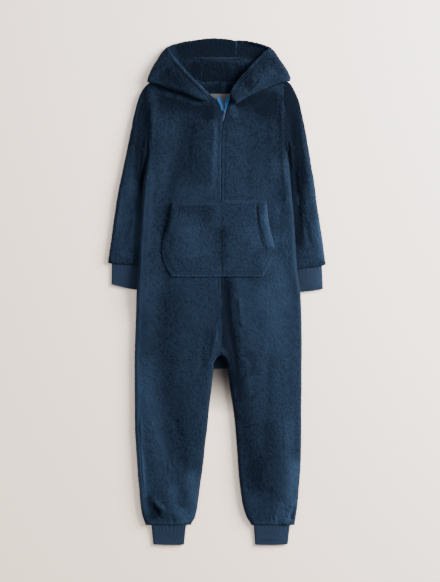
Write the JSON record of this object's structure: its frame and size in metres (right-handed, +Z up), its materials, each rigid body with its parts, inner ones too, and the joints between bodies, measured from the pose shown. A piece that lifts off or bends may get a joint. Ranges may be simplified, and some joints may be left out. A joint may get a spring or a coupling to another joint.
{
  "type": "onesie pajama",
  "caption": "Child's hooded plush-fleece one-piece sleepsuit lying flat on its back, with a front zip, a front pocket and knit cuffs.",
  "frame": {"origin": "on the surface it lies on, under the middle of its box", "axes": "+Y up the garment to the hood, +X across it to the right as seen from above, +Z up out of its front"},
  "size_m": [0.545, 1.2706, 0.0395],
  "materials": {
    "plush": "long-pile fleece, clumped, matt with a soft sheen",
    "cuff_knit": "fine rib knit, doubled, matt",
    "zip_tape": "woven tape, slight sheen",
    "zip_moulded": "moulded, satin",
    "neck_label": "woven tab, bare, matt"
  },
  "bodies": {
    "garment": {"back_left": "plush", "back_right": "plush", "front_left": "plush", "front_right": "plush", "hood_centre": "plush", "hood_left": "plush", "hood_right": "plush", "pocket_left": "plush", "pocket_right": "plush", "sleeve_left": "plush", "sleeve_right": "plush", "ankle_cuff_left": "cuff_knit", "ankle_cuff_right": "cuff_knit", "wrist_cuff_left": "cuff_knit", "wrist_cuff_right": "cuff_knit", "zip_tape_left": "zip_tape", "zip_tape_right": "zip_tape", "zip_chain": "zip_moulded", "zip_slider": "zip_moulded", "neck_label": "neck_label"},
    "pull": {"zip_pull": "zip_moulded"}
  },
  "joints": [
    {"name": "pull_swing", "type": "hinge", "parent": "garment", "child": "pull", "pos_m": [0.018, 0.4478, 0.0182], "axis": [-1, 0, 0], "range_deg": [0, 150]}
  ]
}
